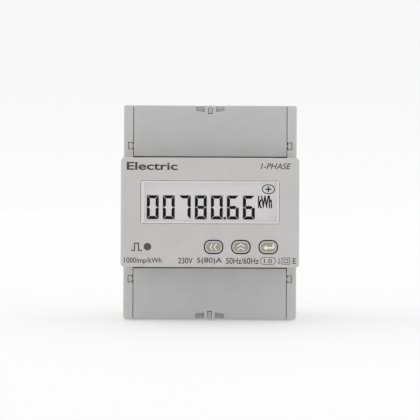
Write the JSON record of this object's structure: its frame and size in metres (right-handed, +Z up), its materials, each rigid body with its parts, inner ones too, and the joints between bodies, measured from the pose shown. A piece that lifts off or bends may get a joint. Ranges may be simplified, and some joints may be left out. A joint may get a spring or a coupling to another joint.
{
  "type": "smart electric meter",
  "caption": "Rail-mounted electricity meter with a display window, push buttons, hinged terminal covers, cage-clamp terminals and a sprung rail clip.",
  "frame": {"origin": "middle of the footprint, on the plane that the meter stands on", "axes": "+Z up, +Y from the front face towards the rail and the wall, +X to the right as seen from the front"},
  "size_m": [0.072, 0.066, 0.09],
  "materials": {
    "housing": "fine satin texture, light warm grey",
    "cover": "fine satin texture, light grey",
    "lens": "clear polished acrylic",
    "terminal_block": "satin glass-filled nylon, mid grey",
    "aux_block": "satin, near black",
    "button_cap": "satin, olive grey",
    "plunger": "satin black",
    "smoked_plastic": "smoked, polished",
    "clip_plastic": "satin, dark grey",
    "zinc_steel": "zinc plated",
    "spring_steel": "drawn wire",
    "copper": "plain copper, lightly oxidised",
    "tinned_pins": "tinned",
    "lamination_steel": "stacked sheets",
    "transformer_shell": "moulded, dark blue",
    "winding_tape": "polyester tape, amber",
    "lead_insulation": "smooth, off white",
    "circuit_board": "green solder mask",
    "capacitor_sleeve": "shrunk film, dark",
    "battery_can": "rolled steel can",
    "varistor_coat": "dipped epoxy, blue",
    "chip_epoxy": "moulded epoxy",
    "white_plastic": "satin white",
    "lcd_glass": "reflective liquid-crystal cell, pale grey",
    "light_guide": "milky acrylic",
    "led_package": "surface-mount package",
    "ribbon": "flat cable jacket",
    "switch_body": "satin black",
    "print_ink": "pad-printed lettering, dark grey",
    "lens_print": "printed border of the lens, light grey",
    "lcd_segment": "switched liquid-crystal segments, black",
    "icon_ink": "printed button symbols, cream"
  },
  "bodies": {
    "housing": {"front_case": "housing", "rear_case": "housing", "display_lens": "lens", "top_terminal_block": "terminal_block", "bottom_terminal_block": "terminal_block", "aux_terminal_block": "aux_block", "aux_contact_pins": "tinned_pins", "line_busbar": "copper", "neutral_busbar": "copper", "current_transformer": "transformer_shell", "current_transformer_leads": "lead_insulation", "voltage_tap_posts": "tinned_pins", "main_board": "circuit_board", "main_board_screws": "zinc_steel", "supply_transformer_core": "lamination_steel", "supply_transformer_coil": "winding_tape", "filter_capacitors": "capacitor_sleeve", "backup_battery": "battery_can", "surge_varistor": "varistor_coat", "ic_packages": "chip_epoxy", "lcd_holder": "white_plastic", "lcd_glass": "lcd_glass", "backlight_guide": "light_guide", "display_board": "circuit_board", "display_board_screws": "zinc_steel", "tact_switches": "switch_body", "light_pipe": "smoked_plastic", "pulse_led": "led_package", "display_ribbon": "ribbon", "ribbon_sockets": "white_plastic", "clip_spring": "spring_steel", "case_screws": "zinc_steel"},
    "top_cover": {"top_terminal_cover": "cover"},
    "bottom_cover": {"bottom_terminal_cover": "cover"},
    "clip": {"din_clip": "clip_plastic"},
    "left_key": {"left_button": "button_cap", "left_plunger": "plunger"},
    "up_key": {"up_button": "button_cap", "up_plunger": "plunger"},
    "enter_key": {"enter_button": "button_cap", "enter_plunger": "plunger"},
    "line_in_screw": {"line_in_screw": "zinc_steel"},
    "line_in_cage": {"line_in_cage": "zinc_steel"},
    "line_out_screw": {"line_out_screw": "zinc_steel"},
    "line_out_cage": {"line_out_cage": "zinc_steel"},
    "neutral_in_screw": {"neutral_in_screw": "zinc_steel"},
    "neutral_in_cage": {"neutral_in_cage": "zinc_steel"},
    "neutral_out_screw": {"neutral_out_screw": "zinc_steel"},
    "neutral_out_cage": {"neutral_out_cage": "zinc_steel"},
    "bus_a_screw": {"bus_a_screw": "zinc_steel"},
    "bus_a_cage": {"bus_a_cage": "zinc_steel"},
    "bus_b_screw": {"bus_b_screw": "zinc_steel"},
    "bus_b_cage": {"bus_b_cage": "zinc_steel"},
    "pulse_plus_screw": {"pulse_plus_screw": "zinc_steel"},
    "pulse_plus_cage": {"pulse_plus_cage": "zinc_steel"},
    "pulse_minus_screw": {"pulse_minus_screw": "zinc_steel"},
    "pulse_minus_cage": {"pulse_minus_cage": "zinc_steel"}
  },
  "joints": [
    {"name": "top_cover_hinge", "type": "hinge", "parent": "housing", "child": "top_cover", "pos_m": [0, -0.0146, 0.07265], "axis": [1, 0, 0], "range_deg": [0, 97]},
    {"name": "bottom_cover_hinge", "type": "hinge", "parent": "housing", "child": "bottom_cover", "pos_m": [0, -0.0146, 0.01735], "axis": [-1, 0, 0], "range_deg": [0, 97]},
    {"name": "clip_slide", "type": "slide", "parent": "housing", "child": "clip", "axis": [0, 0, -1], "range_m": [0, 0.004], "stiffness_N_per_m": 500, "springref_m": -0.003, "deforming": ["clip_spring"]},
    {"name": "left_press", "type": "slide", "parent": "housing", "child": "left_key", "axis": [0, 1, 0], "range_m": [0, 0.0008], "stiffness_N_per_m": 1200, "springref_m": -0.0003},
    {"name": "up_press", "type": "slide", "parent": "housing", "child": "up_key", "axis": [0, 1, 0], "range_m": [0, 0.0008], "stiffness_N_per_m": 1200, "springref_m": -0.0003},
    {"name": "enter_press", "type": "slide", "parent": "housing", "child": "enter_key", "axis": [0, 1, 0], "range_m": [0, 0.0008], "stiffness_N_per_m": 1200, "springref_m": -0.0003},
    {"name": "line_in_turn", "type": "hinge", "parent": "housing", "child": "line_in_screw", "pos_m": [-0.0205, -0.006, 0.08], "axis": [0, 1, 0], "range_deg": [0, 2340]},
    {"name": "line_in_rise", "type": "slide", "parent": "housing", "child": "line_in_cage", "axis": [0, -1, 0], "range_m": [0, 0.0052]},
    {"name": "line_out_turn", "type": "hinge", "parent": "housing", "child": "line_out_screw", "pos_m": [-0.0205, -0.006, 0.01], "axis": [0, 1, 0], "range_deg": [0, 2340]},
    {"name": "line_out_rise", "type": "slide", "parent": "housing", "child": "line_out_cage", "axis": [0, -1, 0], "range_m": [0, 0.0052]},
    {"name": "neutral_in_turn", "type": "hinge", "parent": "housing", "child": "neutral_in_screw", "pos_m": [0.0205, -0.006, 0.08], "axis": [0, 1, 0], "range_deg": [0, 2340]},
    {"name": "neutral_in_rise", "type": "slide", "parent": "housing", "child": "neutral_in_cage", "axis": [0, -1, 0], "range_m": [0, 0.0052]},
    {"name": "neutral_out_turn", "type": "hinge", "parent": "housing", "child": "neutral_out_screw", "pos_m": [0.0205, -0.006, 0.01], "axis": [0, 1, 0], "range_deg": [0, 2340]},
    {"name": "neutral_out_rise", "type": "slide", "parent": "housing", "child": "neutral_out_cage", "axis": [0, -1, 0], "range_m": [0, 0.0052]},
    {"name": "bus_a_turn", "type": "hinge", "parent": "housing", "child": "bus_a_screw", "pos_m": [-0.0075, -0.006, 0.01], "axis": [0, 1, 0], "range_deg": [0, 1800]},
    {"name": "bus_a_rise", "type": "slide", "parent": "housing", "child": "bus_a_cage", "axis": [0, -1, 0], "range_m": [0, 0.00225]},
    {"name": "bus_b_turn", "type": "hinge", "parent": "housing", "child": "bus_b_screw", "pos_m": [-0.0025, -0.006, 0.01], "axis": [0, 1, 0], "range_deg": [0, 1800]},
    {"name": "bus_b_rise", "type": "slide", "parent": "housing", "child": "bus_b_cage", "axis": [0, -1, 0], "range_m": [0, 0.00225]},
    {"name": "pulse_plus_turn", "type": "hinge", "parent": "housing", "child": "pulse_plus_screw", "pos_m": [0.0025, -0.006, 0.01], "axis": [0, 1, 0], "range_deg": [0, 1800]},
    {"name": "pulse_plus_rise", "type": "slide", "parent": "housing", "child": "pulse_plus_cage", "axis": [0, -1, 0], "range_m": [0, 0.00225]},
    {"name": "pulse_minus_turn", "type": "hinge", "parent": "housing", "child": "pulse_minus_screw", "pos_m": [0.0075, -0.006, 0.01], "axis": [0, 1, 0], "range_deg": [0, 1800]},
    {"name": "pulse_minus_rise", "type": "slide", "parent": "housing", "child": "pulse_minus_cage", "axis": [0, -1, 0], "range_m": [0, 0.00225]}
  ],
  "couplings": [
    {"joint": "line_in_turn", "follows": "line_in_rise", "rad_per_m": 7854},
    {"joint": "line_out_turn", "follows": "line_out_rise", "rad_per_m": 7854},
    {"joint": "neutral_in_turn", "follows": "neutral_in_rise", "rad_per_m": 7854},
    {"joint": "neutral_out_turn", "follows": "neutral_out_rise", "rad_per_m": 7854},
    {"joint": "bus_a_turn", "follows": "bus_a_rise", "rad_per_m": 13963},
    {"joint": "bus_b_turn", "follows": "bus_b_rise", "rad_per_m": 13963},
    {"joint": "pulse_plus_turn", "follows": "pulse_plus_rise", "rad_per_m": 13963},
    {"joint": "pulse_minus_turn", "follows": "pulse_minus_rise", "rad_per_m": 13963}
  ]
}
